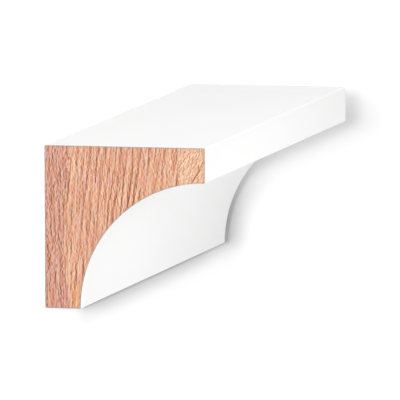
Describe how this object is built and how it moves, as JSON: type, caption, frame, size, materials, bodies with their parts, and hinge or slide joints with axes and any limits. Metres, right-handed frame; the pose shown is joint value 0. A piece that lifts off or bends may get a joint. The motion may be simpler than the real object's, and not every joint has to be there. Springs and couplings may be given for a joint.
{
  "type": "cove fascia moulding",
  "caption": "Short length of white-primed timber cove moulding for eaves and fascia trim: wide flat back and top, quarter-round hollow front, bare sawn ends.",
  "frame": {"origin": "middle of the wide back face, the face that goes against the fascia board or wall and on which the moulding lies", "axes": "+Y along the length, from one sawn end to the other; +Z out of the back face towards the lip face; +X from the top face towards the foot, so -X is up when the moulding is fixed in place"},
  "size_m": [0.0666, 0.25, 0.067],
  "materials": {
    "primed_timber": "satin",
    "sawn_end_grain": "matte"
  },
  "bodies": {
    "root": {"cove_moulding": "primed_timber"}
  },
  "joints": []
}
